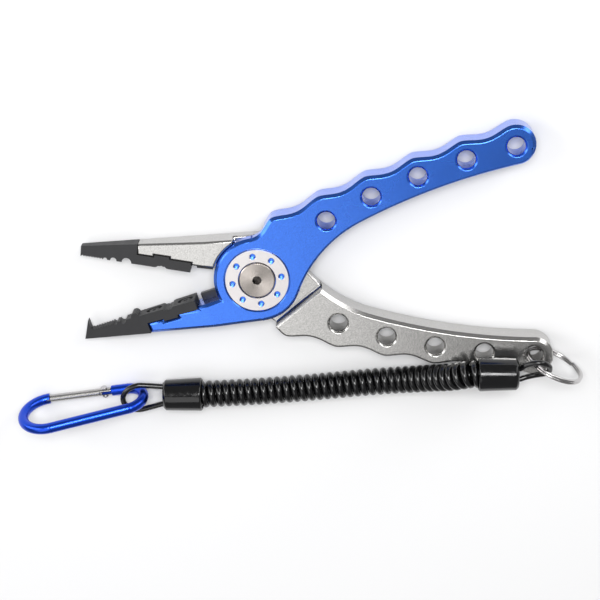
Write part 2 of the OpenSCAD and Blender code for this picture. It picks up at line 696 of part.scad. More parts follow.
module carabiner_body() {
    c1 = [0, narrow_r];
    c2 = [clip_span * cos(clip_tilt), broad_r];
    lean = 90 + 2 * clip_tilt;
    nose_a = asin((nose_x - c2.x) / broad_r) - 90;
    tab_from = rivet_x - gate_tail - 2 * gate_gap;
    color("mediumblue") clip_place() difference() {
        union() {
            rod_arc(c1, narrow_r, lean, 270);
            rod_arc(c2, broad_r, nose_a, lean);
            rod_line(c1 + narrow_r * [cos(lean), sin(lean)], c2 + broad_r * [cos(lean), sin(lean)]);
            rod_line([0, 0], [tab_from, 0]);
            translate([tab_from - 0.5, -gate_r, -tab_t / 2])
                cube([rivet_x - tab_from + 0.5, 2 * gate_r, tab_t]);
            translate([rivet_x, 0, -tab_t / 2]) cylinder(r = gate_r, h = tab_t, $fn = 32);
        }
        translate([rivet_x, 0, -rod_r]) cylinder(r = rivet_r + screw_fit, h = 2 * rod_r, $fn = 32);
        translate([nose_x - 1, -2 * rod_r, -tongue_t / 2 - gate_gap])
            cube([tongue_len + gate_gap + 1, 4 * rod_r, tongue_t + 2 * gate_gap]);
    }
}

module carabiner_gate() {
    fork = gate_r + 3 * gate_gap;
    color("silver") clip_place() difference() {
        union() {
            translate([rivet_x - gate_tail, 0, 0]) rotate([0, 90, 0])
                cylinder(r = gate_r, h = gate_tail + nose_x - gate_gap - rivet_x, $fn = 48);
            translate([nose_x - 2, -gate_r + 0.3, -tongue_t / 2])
                cube([tongue_len + 2, 2 * gate_r - 0.6, tongue_t]);
        }
        translate([rivet_x - gate_tail - 1, -rod_r, -tab_t / 2 - gate_gap])
            cube([gate_tail + 1 + fork, 2 * rod_r, tab_t + 2 * gate_gap]);
        translate([rivet_x, 0, -rod_r]) cylinder(r = rivet_r + screw_fit, h = 2 * rod_r, $fn = 32);
        translate([rivet_x + fork - eps, 0, 0]) rotate([0, 90, 0])
            cylinder(r = gate_bore, h = gate_spring_len + 0.2, $fn = 24);
    }
}

module gate_rivet() {
    reach = gate_r + 0.5;
    color("silver") clip_place() translate([rivet_x, 0, 0]) {
        cylinder(r = rivet_r, h = 2 * reach, center = true, $fn = 32);
        for (s = [-1, 1]) translate([0, 0, s * (reach - 0.1)])
            cylinder(r = 1.3, h = 0.6, center = true, $fn = 32);
    }
}

module gate_spring() {
    color("lightgray") clip_place() translate([rivet_x + gate_r + 3 * gate_gap, 0, 0]) rotate([0, 90, 0])
        difference() {
            cylinder(r = gate_bore - 0.1, h = gate_spring_len, $fn = 24);
            translate([0, 0, -1]) cylinder(r = gate_bore - 0.4, h = gate_spring_len + 2, $fn = 24);
        }
}

blue_lever();
silver_lever();
upper_jaw_insert();
lower_jaw_insert();
upper_insert_screws();
lower_insert_screws();
upper_cutter();
lower_cutter();
upper_cutter_screw();
lower_cutter_screw();
front_pivot_ring();
rear_pivot_cap();
pivot_bolt();
pivot_nut();
pivot_bush();
thrust_washer();
return_spring();
stop_pin();
split_ring();
ring_loop();
right_boot();
right_ferrule();
lanyard_coil();
left_boot();
left_ferrule();
clip_loop();
carabiner_body();
carabiner_gate();
gate_rivet();
gate_spring();
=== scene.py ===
"""Fishing pliers with a curly lanyard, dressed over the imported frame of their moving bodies."""

import json
import logging
import math
from dataclasses import dataclass, field
from enum import Enum

import bmesh
import bpy
import numpy as np
from mathutils import Matrix, Vector
from mathutils.kdtree import KDTree


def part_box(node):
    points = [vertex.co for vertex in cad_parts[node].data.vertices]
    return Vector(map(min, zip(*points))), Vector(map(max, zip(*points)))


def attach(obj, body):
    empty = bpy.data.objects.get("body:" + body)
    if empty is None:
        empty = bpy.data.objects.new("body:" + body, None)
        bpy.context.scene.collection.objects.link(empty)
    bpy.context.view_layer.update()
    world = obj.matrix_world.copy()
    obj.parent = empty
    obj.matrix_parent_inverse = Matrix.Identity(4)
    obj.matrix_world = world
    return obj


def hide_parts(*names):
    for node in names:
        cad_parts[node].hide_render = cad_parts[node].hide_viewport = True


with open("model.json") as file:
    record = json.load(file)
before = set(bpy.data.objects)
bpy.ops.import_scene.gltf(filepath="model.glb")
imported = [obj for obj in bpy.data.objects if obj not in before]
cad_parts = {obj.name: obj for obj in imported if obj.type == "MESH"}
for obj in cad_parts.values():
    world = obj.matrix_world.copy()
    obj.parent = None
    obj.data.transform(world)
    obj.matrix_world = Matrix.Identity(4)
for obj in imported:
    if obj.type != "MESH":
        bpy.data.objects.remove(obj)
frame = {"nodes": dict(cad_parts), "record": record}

LOG = logging.getLogger("pliers")
MM = 0.001
REACH = 2.3  # how far a bevel may move a corner, in widths of the bevel
BOSS_FACE = 13.2 * MM  # radius of the flat round the pivot, which keeps sharper edges
MERGE = 2e-6  # corners nearer than this are one, in metres
SHORTEST = 1e-6  # edges shorter than this are taken out, in metres
FLAT = math.radians(0.6)  # neighbours that turn less than this are joined
SHARP = math.radians(32)  # edges that turn more than this are broken
LEVEL = 0.95  # a face is level where its normal's Z part is over this
DIAGONAL = 0.707  # a normal's Z part on a face at 45 degrees
NEAR_DIAGONAL = 0.02  # how far from it still counts
TOP_FACE = 0.97  # least Z part of the top face's normal where a chamfer meets it
CHAMFER_FACE = (0.5, 0.85)  # range of the Z part of that chamfer's normal

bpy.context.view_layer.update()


class Body(Enum):
    """The moving bodies of the frame that pieces ride on."""

    SILVER = "silver_side"
    BLUE = "blue_side"
    RING = "ring"
    GATE = "gate"


class Slot(Enum):
    """The record's material slots."""

    BLUE = "blue_anodised"
    SILVER = "bare_aluminium"
    TURNED = "turned_aluminium"
    BLACK_STEEL = "black_steel"
    CUTTER = "cutter_steel"
    STAINLESS = "stainless"
    BRONZE = "bronze"
    WHITE = "white_plastic"
    SPRING = "spring_steel"
    NICKEL = "nickel"
    BLACK_PLASTIC = "black_plastic"
    CORD = "black_cord"
    BRASS = "brass"
    CLIP_BLUE = "clip_blue"


# ---------------------------------------------------------------- materials


class NodeGraph:
    """A material's nodes, with short calls for the few kinds the finishes need."""

    def __init__(self, name: str) -> None:
        """Starts an empty material with one Principled shader.

        Args:
            name: The material's name.
        """
        self.material = bpy.data.materials.new(name)
        self.material.use_nodes = True
        self.tree = self.material.node_tree
        self.tree.nodes.clear()
        self.shader = self.tree.nodes.new("ShaderNodeBsdfPrincipled")
        out = self.tree.nodes.new("ShaderNodeOutputMaterial")
        self.tree.links.new(self.shader.outputs["BSDF"], out.inputs["Surface"])

    def set(self, **values: object) -> None:
        """Sets the shader's sockets; an underscore in a key stands for a space."""
        for key, value in values.items():
            self.shader.inputs[key.replace("_", " ")].default_value = value

    def node(self, kind: str, **inputs: object) -> bpy.types.Node:
        """Adds a node.

        Args:
            kind: The node's type name.
            inputs: Sockets by name, given a value or another node's output.

        Returns:
            The new node.
        """
        made = self.tree.nodes.new(kind)
        for key, value in inputs.items():
            socket = made.inputs[key.replace("_", " ")]
            if isinstance(value, bpy.types.NodeSocket):
                self.tree.links.new(value, socket)
            else:
                socket.default_value = value
        return made

    def link(self, output: bpy.types.NodeSocket, socket: str) -> None:
        """Joins an output to one of the shader's sockets."""
        self.tree.links.new(output, self.shader.inputs[socket])

    def place(self) -> bpy.types.NodeSocket:
        """The Object coordinates, in metres."""
        return self.tree.nodes.new("ShaderNodeTexCoord").outputs["Object"]

    def noise(self, scale: float, detail: float = 2.0, stretch: tuple = (1.0, 1.0, 1.0),
              roughness: float = 0.5) -> bpy.types.NodeSocket:
        """Noise over the object's own coordinates.

        Args:
            scale: Waves per metre.
            detail: Octaves.
            stretch: Scale of each axis.
            roughness: Share of the finer octaves.

        Returns:
            The noise's grey output.
        """
        mapped = self.node("ShaderNodeMapping", Vector=self.place(), Scale=stretch)
        made = self.node("ShaderNodeTexNoise", Vector=mapped.outputs["Vector"], Scale=scale,
                         Detail=detail, Roughness=roughness)
        return made.outputs["Fac"]

    def ramp(self, fac: bpy.types.NodeSocket, stops: list) -> bpy.types.NodeSocket:
        """A colour ramp.

        Args:
            fac: Its input.
            stops: Pairs of position and grey value or (r, g, b).

        Returns:
            The ramp's colour output.
        """
        made = self.node("ShaderNodeValToRGB", Fac=fac)
        elements = made.color_ramp.elements
        while len(elements) < len(stops):
            elements.new(0.5)
        for element, (position, value) in zip(elements, stops):
            rgb = (value, value, value) if isinstance(value, float) else value
            element.position = position
            element.color = (*rgb, 1.0)
        return made.outputs["Color"]

    def math(self, kind: str, a: object, b: object = 0.0) -> bpy.types.NodeSocket:
        """One Math node.

        Args:
            kind: Its operation.
            a: First value or output.
            b: Second value or output.

        Returns:
            The result.
        """
        made = self.tree.nodes.new("ShaderNodeMath")
        made.operation = kind
        for socket, value in zip(made.inputs, (a, b)):
            if isinstance(value, bpy.types.NodeSocket):
                self.tree.links.new(value, socket)
            else:
                socket.default_value = value
        return made.outputs[0]

    def bump(self, height: bpy.types.NodeSocket, distance: float, strength: float = 1.0) -> None:
        """Lifts the surface by a height map.

        Args:
            height: The height, 0 to 1.
            distance: What a height of 1 is, in metres.
            strength: Share of it that is used.
        """
        made = self.node("ShaderNodeBump", Height=height, Distance=distance, Strength=strength)
        self.link(made.outputs["Normal"], "Normal")


@dataclass(frozen=True)
class BlastedMetal:
    """Bead-blasted aluminium, bare or anodised: a fine even grain under a satin gloss."""

    name: str
    colour: tuple
    mottle: tuple
    roughness: float = 0.4
    metallic: float = 1.0
    grain: float = 0.000012
    coat: float = 0.0

    def build(self) -> bpy.types.Material:
        """Makes the material: two colours mixed by a fine noise, and bump from another."""
        graph = NodeGraph(self.name)
        graph.set(Metallic=self.metallic, Coat_Weight=self.coat, Coat_Roughness=0.22)
        graph.link(graph.ramp(graph.noise(2600.0, 2.0), [(0.3, self.colour), (0.7, self.mottle)]),
                   "Base Color")
        low, high = self.roughness - 0.02, self.roughness + 0.02
        graph.link(graph.ramp(graph.noise(90.0), [(0.1, low), (0.9, high)]), "Roughness")
        graph.bump(graph.noise(2300.0, 3.0), self.grain)
        return graph.material


@dataclass(frozen=True)
class TurnedMetal:
    """Metal faced on a lathe: fine rings round the upright axis through the origin.

    Attributes:
        pitch: Distance from ring to ring, in metres.
        depth: Height of the relief, in metres.
        ring_share: Share of the relief that is rings; a fine noise is added to it.
        painted_sheen_spread: How much brighter and darker than its colour the two fans are
            painted, as painted highlight and painted shade, or 0.
        rim: Radius of the turned face, in metres.
        socket: Radius of the socket, painted almost black as painted shade in its hollow, as a
            share of the rim.
    """

    name: str
    colour: tuple
    roughness: float = 0.3
    pitch: float = 0.00022
    depth: float = 0.000006
    ring_share: float = 0.35
    painted_sheen_spread: float = 0.0
    rim: float = 0.0071
    socket: float = 0.25

    def build(self) -> bpy.types.Material:
        """Makes the material: the rings are the sine of 2 pi times radius over pitch."""
        graph = NodeGraph(self.name)
        graph.set(Metallic=1.0, Roughness=self.roughness, Base_Color=(*self.colour, 1.0))
        apart = graph.node("ShaderNodeSeparateXYZ", Vector=graph.place())
        x, y = apart.outputs["X"], apart.outputs["Y"]
        radius = graph.math("SQRT", graph.math("ADD", graph.math("MULTIPLY", x, x),
                                               graph.math("MULTIPLY", y, y)))
        wave = graph.math("SINE", graph.math("MULTIPLY", radius, 2 * math.pi / self.pitch))
        graph.bump(graph.math("ADD", graph.math("MULTIPLY", wave, self.ring_share),
                              graph.noise(2600.0, 3.0)), self.depth)
        # Painted sheen: fans of painted highlight and painted shade, and painted shade in the
        # socket.
        if self.painted_sheen_spread:
            self.paint_sheen_and_socket_shade(graph, x, y, radius)
        return graph.material

    def paint_sheen_and_socket_shade(self, graph: NodeGraph, x: bpy.types.NodeSocket, y: bpy.types.NodeSocket,
            radius: bpy.types.NodeSocket) -> None:
        """Paints a highlight and a shade as two opposite fans, brighter and darker, and paints
        shade into the socket in the middle.

        The fans' strength is a half less x y over the square of the radius.

        Args:
            graph: The material's nodes.
            x: Distance from the axis along X.
            y: Distance from the axis along Y.
            radius: Distance from the axis.
        """
        turn = graph.math("DIVIDE", graph.math("MULTIPLY", x, y),
                          graph.math("MULTIPLY", radius, radius))
        # The two colours of the painted shade and painted highlight in the fans.
        painted_fan_shade = tuple(c * (1.0 - self.painted_sheen_spread) for c in self.colour)
        painted_fan_highlight = tuple(min(1.0, c * (1.0 + self.painted_sheen_spread)) for c in self.colour)
        fans = graph.ramp(graph.math("SUBTRACT", 0.5, turn), [(0.0, painted_fan_shade), (1.0, painted_fan_highlight)])
        # Painted shade: the socket's hollow is coloured nearly black.
        reach = graph.math("DIVIDE", radius, self.rim)
        socket = graph.ramp(reach, [(self.socket - 0.01, 0.12), (self.socket + 0.01, 1.0)])
        mixed = graph.node("ShaderNodeVectorMath")
        mixed.operation = "MULTIPLY"
        graph.tree.links.new(fans, mixed.inputs[0])
        graph.tree.links.new(socket, mixed.inputs[1])
        graph.link(mixed.outputs[0], "Base Color")


@dataclass(frozen=True)
class WornMetal:
    """Steel or nickel with a faint grain, smudges in its gloss and no pattern of its own."""

    name: str
    colour: tuple
    roughness: float
    metallic: float = 1.0
    smudge: float = 0.06
    grain: float = 0.000008
    grain_scale: float = 3500.0
    specular: float = 0.5
    coat: float = 0.0

    def build(self) -> bpy.types.Material:
        """Makes the material: roughness from a slow noise, bump from a fine one."""
        graph = NodeGraph(self.name)
        graph.set(Metallic=self.metallic, Base_Color=(*self.colour, 1.0), Coat_Weight=self.coat,
                  Specular_IOR_Level=self.specular, Coat_Roughness=0.08)
        low, high = max(0.03, self.roughness - self.smudge), self.roughness + self.smudge
        graph.link(graph.ramp(graph.noise(260.0, 3.0), [(0.3, low), (0.7, high)]), "Roughness")
        graph.bump(graph.noise(self.grain_scale, 2.0), self.grain)
        return graph.material


@dataclass(frozen=True)
class MouldedPlastic:
    """Moulded plastic or extruded cord sheath: dielectric, with a soft waviness."""

    name: str
    colour: tuple
    roughness: float
    coat: float = 0.3
    ripple: float = 0.00002
    ripple_scale: float = 900.0

    def build(self) -> bpy.types.Material:
        """Makes the material: roughness and bump each from one noise."""
        graph = NodeGraph(self.name)
        graph.set(Metallic=0.0, Base_Color=(*self.colour, 1.0), Coat_Weight=self.coat,
                  Coat_Roughness=0.12, Specular_IOR_Level=0.5)
        low, high = self.roughness - 0.06, self.roughness + 0.08
        graph.link(graph.ramp(graph.noise(500.0), [(0.3, low), (0.7, high)]), "Roughness")
        graph.bump(graph.noise(self.ripple_scale, 2.0), self.ripple)
        return graph.material


FINISHES: dict = {
    Slot.BLUE: BlastedMetal("satin_blue_anodised", (0.024, 0.145, 0.70), (0.034, 0.185, 0.82),
                            0.27, grain=0.000008, coat=0.9),
    Slot.SILVER: BlastedMetal("blasted_aluminium", (0.42, 0.415, 0.405), (0.58, 0.57, 0.555), 0.24,
                              grain=0.000006),
    Slot.TURNED: TurnedMetal("faced_aluminium", (0.74, 0.71, 0.71), 0.32),
    # The bolt head carries a painted sheen in two fans and painted shade in its socket.
    Slot.STAINLESS: TurnedMetal("faced_stainless", (0.46, 0.42, 0.39), 0.26, depth=0.000012,
                                painted_sheen_spread=0.3),
    Slot.BLACK_STEEL: WornMetal("blackened_steel", (0.03, 0.03, 0.032), 0.5, metallic=0.4),
    Slot.CUTTER: WornMetal("ground_black_steel", (0.045, 0.045, 0.05), 0.35, metallic=0.8),
    Slot.BRONZE: WornMetal("bush_bronze", (0.56, 0.4, 0.2), 0.35),
    Slot.WHITE: MouldedPlastic("washer_plastic", (0.75, 0.75, 0.74), 0.45, coat=0.0),
    Slot.SPRING: WornMetal("spring_wire", (0.5, 0.5, 0.52), 0.28),
    Slot.NICKEL: WornMetal("bright_nickel", (0.56, 0.55, 0.55), 0.16, smudge=0.03),
    Slot.BLACK_PLASTIC: MouldedPlastic("boot_plastic", (0.003, 0.003, 0.0035), 0.12, coat=0.1,
                                       ripple=0.000004),
    Slot.CORD: MouldedPlastic("cord_sheath", (0.003, 0.003, 0.0035), 0.18, coat=0.15,
                              ripple=0.00001),
    Slot.BRASS: WornMetal("ferrule_brass", (0.66, 0.5, 0.22), 0.3),
    Slot.CLIP_BLUE: WornMetal("gloss_blue_anodised", (0.014, 0.07, 0.6), 0.3, smudge=0.03,
                              coat=0.2),
}


class Finishes:
    """Builds each finish once and gives it to pieces."""

    def __init__(self) -> None:
        """Starts with no material made."""
        self.made: dict = {}

    def get(self, slot: Slot) -> bpy.types.Material:
        """The material of a slot, built at its first use."""
        if slot not in self.made:
            self.made[slot] = FINISHES[slot].build()
        return self.made[slot]

    def dress(self, obj: bpy.types.Object, slot: Slot) -> None:
        """Gives a piece the one material of its slot.

        Args:
            obj: The piece.
            slot: The record's slot.
        """
        obj.data.materials.clear()
        obj.data.materials.append(self.get(slot))


# ---------------------------------------------------------------- surfaces


def shade(mesh: bpy.types.Mesh, degrees: float) -> None:
    """Smooth shading, with edges sharper than an angle kept hard."""
    mesh.polygons.foreach_set("use_smooth", np.ones(len(mesh.polygons), dtype=bool))
    mesh.set_sharp_from_angle(angle=math.radians(degrees))


def mesh_object(name: str, points: np.ndarray, faces: np.ndarray,
                caps: tuple = ()) -> bpy.types.Object:
    """Makes a smooth-shaded object from arrays.

    Args:
        name: The piece's name.
        points: Vertices, in millimetres, n by 3.
        faces: Quads, as m by 4 vertex numbers.
        caps: Further faces, each a list of vertex numbers.

    Returns:
        The object, linked to the scene.
    """
    mesh = bpy.data.meshes.new(name)
    polygons = [*faces.tolist(), *[list(c) for c in caps]]
    mesh.from_pydata((points * MM).tolist(), [], polygons)
    mesh.validate()
    shade(mesh, 38)
    obj = bpy.data.objects.new(name, mesh)
    bpy.context.scene.collection.objects.link(obj)
    return obj


def grid_quads(rows: int, cols: int) -> np.ndarray:
    """Quads of a grid whose rows close on themselves.

    Args:
        rows: Number of rings.
        cols: Points in each ring.

    Returns:
        The quads, facing outwards when rings turn anticlockwise seen from the path's end.
    """
    i = np.arange(rows - 1)[:, None]
    k = np.arange(cols)[None, :]
    k2 = (k + 1) % cols
    quads = np.stack([i * cols + k, i * cols + k2, (i + 1) * cols + k2, (i + 1) * cols + k],
                     axis=-1)
    return quads.reshape(-1, 4)


def spline(points: np.ndarray, steps: int) -> np.ndarray:
    """The smooth curve through given points.

    Each span is the cubic through its two ends whose slope at a point is half the step from the
    point before to the point after.

    Args:
        points: The route, n by 3.
        steps: Points made for each span.

    Returns:
        The curve's points.
    """
    padded = np.vstack([points[:1], points, points[-1:]])
    a, b, c, d = padded[:-3, None], padded[1:-2, None], padded[2:-1, None], padded[3:, None]
    u = (np.arange(steps) / steps)[None, :, None]
    curve = 0.5 * (2 * b + (c - a) * u + (2 * a - 5 * b + 4 * c - d) * u ** 2
                   + (3 * b - a - 3 * c + d) * u ** 3)
    return np.vstack([curve.reshape(-1, 3), points[-1:]])


def evenly(points: np.ndarray, count: int) -> np.ndarray:
    """Points at equal distances along a curve.

    Args:
        points: The curve.
        count: How many are wanted.

    Returns:
        The evenly spaced points.
    """
    steps = np.linalg.norm(np.diff(points, axis=0), axis=1)
    along = np.concatenate([[0.0], np.cumsum(steps)])
    wanted = np.linspace(0.0, along[-1], count)
    return np.column_stack([np.interp(wanted, along, points[:, k]) for k in range(3)])


def curve_length(points: np.ndarray) -> float:
    """The length of a curve of points."""
    return float(np.linalg.norm(np.diff(points, axis=0), axis=1).sum())


def directions(points: np.ndarray) -> np.ndarray:
    """Unit directions of a curve: each point's is the step between its neighbours."""
    steps = np.gradient(points, axis=0)
    return steps / np.linalg.norm(steps, axis=1, keepdims=True)


def side_frames(points: np.ndarray, up: np.ndarray) -> tuple:
    """Two unit directions across a curve, the first of them square to a fixed direction.

    Args:
        points: The curve.
        up: The fixed direction, never along the curve.

    Returns:
        The two arrays of directions.
    """
    along = directions(points)
    first = np.cross(up[None, :], along)
    first /= np.linalg.norm(first, axis=1, keepdims=True)
    return first, np.cross(along, first)


def tube(name: str, points: np.ndarray, radius: np.ndarray, sides: int, first: np.ndarray,
         second: np.ndarray) -> bpy.types.Object:
    """A round tube along a curve, with a domed cap at each end.

    A ring's point at angle t is centre + radius (cos t first + sin t second).

    Args:
        name: The piece's name.
        points: Centres of the rings, in millimetres.
        radius: Radius at each ring.
        sides: Points in each ring.
        first: Directions across the curve.
        second: The third directions.

    Returns:
        The object.
    """
    t = np.linspace(0.0, 2 * math.pi, sides, endpoint=False)
    ring = (np.cos(t)[None, :, None] * first[:, None, :]
            + np.sin(t)[None, :, None] * second[:, None, :])
    grid = points[:, None, :] + radius[:, None, None] * ring
    rows = len(points)
    caps = (list(range(sides))[::-1], [(rows - 1) * sides + k for k in range(sides)])
    return mesh_object(name, grid.reshape(-1, 3), grid_quads(rows, sides), caps)


# ---------------------------------------------------------------- machined pieces


@dataclass
class MachinedPart:
    """A copy of a CAD node with its sharp edges broken, which replaces the node.

    Attributes:
        node: The CAD node.
        body: The body it rides on.
        slot: Its material slot.
        chamfer: Width of the broken edges, in millimetres.
        segments: Faces across a broken edge.
        rounding: Width of the rounding between a chamfer and the top face, or 0.
    """

    node: str
    body: Body
    slot: Slot
    chamfer: float = 0.3
    segments: int = 1
    rounding: float = 0.0

    def copy_mesh(self) -> bmesh.types.BMesh:
        """The node's mesh with doubles merged and flat neighbours joined."""
        bm = bmesh.new()
        bm.from_mesh(frame["nodes"][self.node].data)
        for layer in list(bm.loops.layers.float_vector.values()):
            bm.loops.layers.float_vector.remove(layer)
        bmesh.ops.remove_doubles(bm, verts=bm.verts, dist=MERGE)
        bmesh.ops.dissolve_degenerate(bm, edges=bm.edges, dist=SHORTEST)
        bmesh.ops.dissolve_limit(bm, angle_limit=FLAT, verts=bm.verts, edges=bm.edges)
        return bm

    def edge_weight(self, middle: Vector, edge: bmesh.types.BMEdge) -> float:
        """How much of the chamfer an edge gets, 0 to 1.

        Args:
            middle: The edge's middle, in metres.
            edge: The edge.

        Returns:
            The share.
        """
        return 1.0

    def build(self, finishes: Finishes) -> bpy.types.Object:
        """Makes the piece.

        Args:
            finishes: The finishes it is dressed from.

        Returns:
            The object.
        """
        name = self.node + "_finished"
        bm = self.copy_mesh()
        weights = bm.edges.layers.float.new("bevel_weight_edge")
        for edge in bm.edges:
            if len(edge.link_faces) == 2 and edge.calc_face_angle(0.0) > SHARP:
                middle = (edge.verts[0].co + edge.verts[1].co) / 2
                edge[weights] = self.edge_weight(middle, edge)
        mesh = bpy.data.meshes.new(name)
        bm.to_mesh(mesh)
        bm.free()
        if "custom_normal" in mesh.attributes:
            mesh.attributes.remove(mesh.attributes["custom_normal"])
        obj = bpy.data.objects.new(name, mesh)
        bpy.context.scene.collection.objects.link(obj)
        self.bevel(obj, self.chamfer, self.segments)
        if self.rounding:
            self.soften(obj)
        shade(obj.data, 40)
        # Large flat faces keep their own normal, and only the broken edges are rounded.
        weighted = obj.modifiers.new("flat_faces", "WEIGHTED_NORMAL")
        weighted.mode = "FACE_AREA"
        weighted.weight = 100
        weighted.keep_sharp = True
        apply_modifiers(obj)
        finishes.dress(obj, self.slot)
        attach(obj, self.body.value)
        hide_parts(self.node)
        LOG.info("%s: %d faces", name, len(obj.data.polygons))
        return obj

    def bevel(self, obj: bpy.types.Object, width: float, segments: int) -> None:
        """Bevels an object's weighted edges.

        Args:
            obj: The object.
            width: Width of the bevel, in millimetres.
            segments: Faces across it.
        """
        corners = KDTree(len(obj.data.vertices))
        for vert in obj.data.vertices:
            corners.insert(vert.co, vert.index)
        corners.balance()
        bevel = obj.modifiers.new("broken_edges", "BEVEL")
        bevel.width = width * MM
        bevel.segments = segments
        bevel.limit_method = "WEIGHT"
        bevel.miter_outer = "MITER_SHARP"
        bevel.use_clamp_overlap = False
        apply_modifiers(obj)
        self.settle(obj, corners, REACH * width * MM)

    def settle(self, obj: bpy.types.Object, corners: KDTree, reach: float) -> None:
        """Moves the few corners that a bevel threw away back among their neighbours.

        Args:
            obj: The bevelled object.
            corners: Its corners before the bevel.
            reach: How far from those a corner may lie, in metres.
        """
        bm = bmesh.new()
        bm.from_mesh(obj.data)
        stray = [vert for vert in bm.verts if corners.find(vert.co)[2] > reach]
        for vert in stray:
            near = [edge.other_vert(vert) for edge in vert.link_edges]
            near = [other.co for other in near if other not in stray]
            if near:
                vert.co = sum(near, Vector()) / len(near)
        bm.to_mesh(obj.data)
        bm.free()

    def soften(self, obj: bpy.types.Object) -> None:
        """Rounds the line where a chamfer meets the top face.

        Args:
            obj: The object, with its chamfers made.
        """
        bm = bmesh.new()
        bm.from_mesh(obj.data)
        weights = bm.edges.layers.float.get("bevel_weight_edge")
        for edge in bm.edges:
            slopes = sorted(f.normal.z for f in edge.link_faces)
            meets = (len(slopes) == 2 and slopes[1] > TOP_FACE
                     and CHAMFER_FACE[0] < slopes[0] < CHAMFER_FACE[1])
            middle = (edge.verts[0].co + edge.verts[1].co) / 2
            outside = math.hypot(middle.x, middle.y) > BOSS_FACE
            edge[weights] = 1.0 if meets and outside else 0.0
        bm.to_mesh(obj.data)
        bm.free()
        self.bevel(obj, self.rounding, 2)


def apply_modifiers(obj: bpy.types.Object) -> None:
    """Turns an object's modifiers into its own mesh."""
    graph = bpy.context.evaluated_depsgraph_get()
    mesh = bpy.data.meshes.new_from_object(obj.evaluated_get(graph))
    obj.modifiers.clear()
    obj.data = mesh


@dataclass
class Lever(MachinedPart):
    """One lever: wide chamfers round its top face, narrower ones below and at the pivot.

    Attributes:
        inner_share: Share of the chamfer along the handle's inner edge.
        outer_share: Share along its outer edge.
        turn_degrees: How far the lever stands from the closed line.
        mirrored: Whether its handle lies on the -Y side.
        spine: Height over the closed line of the line of holes, where it is highest.
        spine_x: Distance from the pivot of that highest place.
        spine_radius: Radius of the line of holes.
        blend: Width over which one share passes into the other.
        neck: Distance from the pivot over which the inner share sets in.
        side_share: Share at upright edges and at the top of the pivot.
        hole_share: Share at the edges of faces at 45 degrees, such as a hole's chamfer.
        other_share: Share at the remaining edges of level faces.
        skin: How far under the highest place an edge still counts as the pivot's top.
        above_low: The top outline lies at least this far over the lowest place.
        below_high: And no further than this under the highest.
    """

    inner_share: float = 1.0
    outer_share: float = 1.0
    turn_degrees: float = 12.5
    mirrored: bool = False
    spine: float = 19.9
    spine_x: float = 87.0
    spine_radius: float = 250.0
    blend: float = 6.0
    neck: float = 16.0
    side_share: float = 0.25
    hole_share: float = 0.12
    other_share: float = 0.4
    skin: float = 0.05
    above_low: float = 4.5
    below_high: float = 5.5

    def __post_init__(self) -> None:
        """Reads the CAD node's box once."""
        self.low, self.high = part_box(self.node)

    def edge_weight(self, middle: Vector, edge: bmesh.types.BMEdge) -> float:
        """The top outline gets the full chamfer, other outside edges a part of it."""
        low, high = self.low, self.high
        radius = math.hypot(middle.x, middle.y)
        if radius < BOSS_FACE:
            return self.side_share if middle.z > high[2] - self.skin * MM else 0.0
        slopes = [f.normal.z for f in edge.link_faces]
        if any(abs(abs(n) - DIAGONAL) < NEAR_DIAGONAL for n in slopes):
            return self.hole_share
        upper = any(n > LEVEL for n in slopes)
        lower = any(n < -LEVEL for n in slopes)
        if not (upper or lower):
            return self.side_share
        floor = max(low[2] + self.above_low * MM, high[2] - self.below_high * MM)
        if upper and middle.z > floor:
            part = self.inner_part(middle)
            return self.outer_share * (1.0 - part) + self.inner_share * part
        return self.other_share

    def inner_part(self, middle: Vector) -> float:
        """How far a point lies towards the handle's inner edge.

        Args:
            middle: The point, in metres.

        Returns:
            0 at the line of holes and outside it, 1 at the inner edge, smooth between.
        """
        a = math.radians(self.turn_degrees)
        y = -middle.y if self.mirrored else middle.y
        closed_x = middle.x * math.cos(a) + y * math.sin(a)
        closed_y = -middle.x * math.sin(a) + y * math.cos(a)
        drop = (closed_x - self.spine_x * MM) ** 2 / (2 * self.spine_radius * MM)
        part = min(1.0, max(0.0, (self.spine * MM - drop - closed_y) / (self.blend * MM)))
        return part * part * (3 - 2 * part) * min(1.0, max(0.0, closed_x / (self.neck * MM)))


# ---------------------------------------------------------------- lanyard


@dataclass
class Boot:
    """Where a boot stands.

    Attributes:
        mouth: Centre of the end that the curly cord enters, in millimetres.
        degrees: Direction on the table from there to the loop's end.
        strand_side: Distance of each of the loop's strands from the axis.
        length: Distance from the mouth to the loop's end.
    """

    mouth: tuple
    degrees: float
    strand_side: float
    length: float = 15.7

    def point(self, along: float, side: float = 0.0) -> np.ndarray:
        """A point in the boot.

        Args:
            along: Distance from the mouth, along the axis.
            side: 1 or -1 for the two strands, 0 for the axis.

        Returns:
            The point, in millimetres.
        """
        a = math.radians(self.degrees)
        axis = np.array([math.cos(a), math.sin(a), 0.0])
        across = np.array([-math.sin(a), math.cos(a), 0.0])
        return np.array(self.mouth) + along * axis + side * self.strand_side * across


